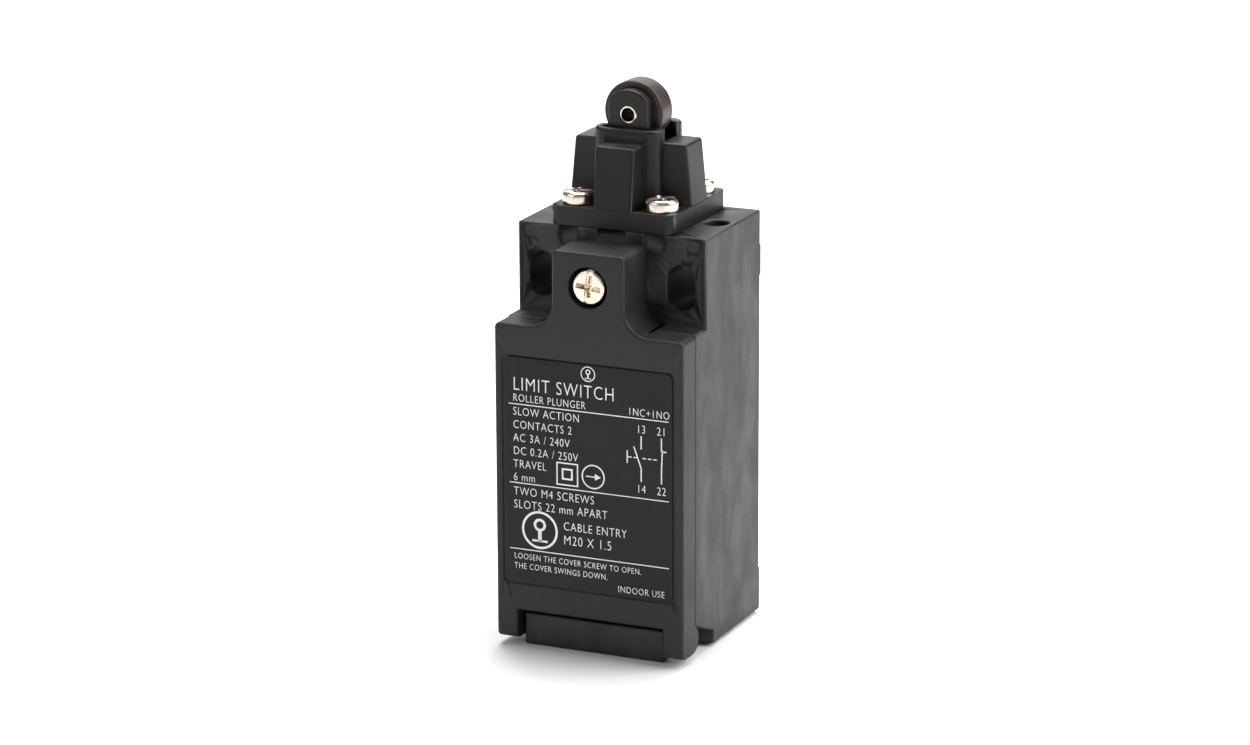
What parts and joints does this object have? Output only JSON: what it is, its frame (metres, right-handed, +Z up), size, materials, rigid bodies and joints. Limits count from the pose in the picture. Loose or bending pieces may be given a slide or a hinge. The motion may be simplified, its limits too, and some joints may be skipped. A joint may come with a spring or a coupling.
{
  "type": "limit switch",
  "caption": "Compact box limit switch with a roller plunger on a bolted cross-ribbed head, slotted mounting ears and a hinged front cover over a contact block.",
  "frame": {"origin": "midway between the two vertical mounting slots, on the plane of the raised rear mounting pads", "axes": "+Z up towards the roller, +Y out of the back of the switch into the wall it is screwed to, +X to the right seen from the front"},
  "size_m": [0.03, 0.0293, 0.0832],
  "materials": {
    "housing_plastic": "moulded glass-filled plastic, satin, dark grey",
    "cover_plastic": "moulded glass-filled plastic, satin, near black",
    "head_plastic": "moulded plastic, satin, brownish black",
    "plunger_plastic": "moulded acetal, brown-grey",
    "roller_plastic": "moulded acetal, brown-grey",
    "label_film": "printed film, white on dark grey",
    "bright_nickel": "bright nickel plate",
    "zinc_steel": "zinc-plated steel",
    "spring_steel": "drawn spring wire",
    "brass": "stamped brass",
    "silver_contact": "silver alloy",
    "seal_rubber": "nitrile rubber",
    "ivory_plastic": "moulded thermoset, ivory",
    "white_plastic": "moulded acetal, white"
  },
  "bodies": {
    "housing": {"block_front_shell": "ivory_plastic", "block_rear_shell": "ivory_plastic", "block_screw_left": "zinc_steel", "block_screw_right": "zinc_steel", "carrier_return_spring": "spring_steel", "clamp_washer_nc_left": "zinc_steel", "clamp_washer_nc_right": "zinc_steel", "clamp_washer_no_left": "zinc_steel", "clamp_washer_no_right": "zinc_steel", "cover_screw_insert": "brass", "fixed_contact_nc_left": "silver_contact", "fixed_contact_nc_right": "silver_contact", "fixed_contact_no_left": "silver_contact", "fixed_contact_no_right": "silver_contact", "head": "head_plastic", "head_gasket": "seal_rubber", "head_screw_front_left": "bright_nickel", "head_screw_front_right": "bright_nickel", "head_screw_rear_left": "bright_nickel", "head_screw_rear_right": "bright_nickel", "housing": "housing_plastic", "plunger_return_spring": "spring_steel", "plunger_seal": "seal_rubber", "spring_seat": "zinc_steel", "terminal_nc_left": "brass", "terminal_nc_right": "brass", "terminal_no_left": "brass", "terminal_no_right": "brass", "terminal_screw_nc_left": "bright_nickel", "terminal_screw_nc_right": "bright_nickel", "terminal_screw_no_left": "bright_nickel", "terminal_screw_no_right": "bright_nickel"},
    "cover": {"cover": "cover_plastic", "cover_gasket": "seal_rubber", "nameplate": "label_film", "screw_retainer": "white_plastic"},
    "cover_screw": {"cover_screw": "bright_nickel"},
    "plunger": {"plunger": "plunger_plastic", "roller_pin": "zinc_steel"},
    "roller": {"roller": "roller_plastic"},
    "contact_carrier": {"contact_carrier": "white_plastic", "nc_bridge": "brass", "nc_contact_spring": "spring_steel", "no_contact_spring": "spring_steel"},
    "no_bridge": {"no_bridge": "brass"}
  },
  "joints": [
    {"name": "plunger_slide", "type": "slide", "parent": "housing", "child": "plunger", "axis": [0, 0, -1], "range_m": [0, 0.006], "stiffness_N_per_m": 600, "springref_m": -0.004, "deforming": ["plunger_return_spring"]},
    {"name": "roller_spin", "type": "hinge", "parent": "plunger", "child": "roller", "pos_m": [0, -0.01095, 0.0235], "axis": [0, 1, 0], "continuous": true},
    {"name": "carrier_slide", "type": "slide", "parent": "housing", "child": "contact_carrier", "axis": [0, 0, -1], "range_m": [0, 0.006], "deforming": ["carrier_return_spring"]},
    {"name": "no_bridge_slide", "type": "slide", "parent": "housing", "child": "no_bridge", "axis": [0, 0, -1], "range_m": [0, 0.003], "deforming": ["no_contact_spring"]},
    {"name": "cover_hinge", "type": "hinge", "parent": "housing", "child": "cover", "pos_m": [0, -0.0256, -0.0518], "axis": [1, 0, 0], "range_deg": [0, 90]},
    {"name": "cover_screw_travel", "type": "slide", "parent": "cover", "child": "cover_screw", "axis": [0, -1, 0], "range_m": [0, 0.0036]}
  ],
  "couplings": [
    {"joint": "carrier_slide", "follows": "plunger_slide", "ratio": 1},
    {"joint": "no_bridge_slide", "follows": "plunger_slide", "ratio": 0.5}
  ]
}
